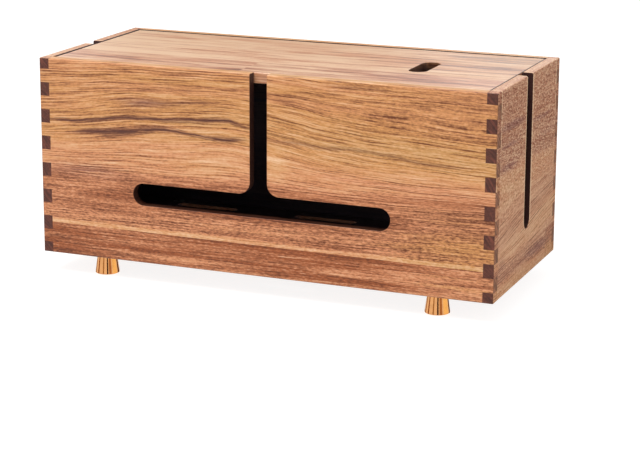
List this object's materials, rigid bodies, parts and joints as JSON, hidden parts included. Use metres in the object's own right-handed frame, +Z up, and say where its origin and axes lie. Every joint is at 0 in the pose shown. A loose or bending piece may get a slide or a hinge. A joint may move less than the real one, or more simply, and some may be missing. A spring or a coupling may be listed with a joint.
{
  "type": "cable management box",
  "caption": "Finger-jointed wooden cable box on turned brass feet, with a T-shaped front cable slot, slotted ends, a vented base and a lift-off lid.",
  "frame": {"origin": "middle of the box on the table, under the centre of its four feet", "axes": "+X along the box towards the end with the lid's finger hole, +Y from the front to the back, +Z up"},
  "size_m": [0.31, 0.135, 0.1435],
  "materials": {
    "side_boards": "satin oiled acacia",
    "end_boards": "satin oiled acacia",
    "lid_board": "satin oiled acacia",
    "inner_wood": "sanded acacia",
    "polished_brass": "polished, rose tone",
    "zinc_steel": "zinc plated",
    "felt": "pressed felt"
  },
  "bodies": {
    "case": {"front_panel": "side_boards", "back_panel": "side_boards", "left_end_panel": "end_boards", "right_end_panel": "end_boards", "bottom_panel": "inner_wood", "lid_rest_front_left": "inner_wood", "lid_rest_front_right": "inner_wood", "lid_rest_back_left": "inner_wood", "lid_rest_back_right": "inner_wood", "foot_front_left": "polished_brass", "foot_front_right": "polished_brass", "foot_back_left": "polished_brass", "foot_back_right": "polished_brass", "foot_screw_front_left": "zinc_steel", "foot_screw_front_right": "zinc_steel", "foot_screw_back_left": "zinc_steel", "foot_screw_back_right": "zinc_steel", "foot_pad_front_left": "felt", "foot_pad_front_right": "felt", "foot_pad_back_left": "felt", "foot_pad_back_right": "felt"},
    "lid": {"lid": "lid_board"}
  },
  "joints": [
    {"name": "lid_lift", "type": "slide", "parent": "case", "child": "lid", "axis": [0, 0, 1], "range_m": [0, 0.1]}
  ]
}
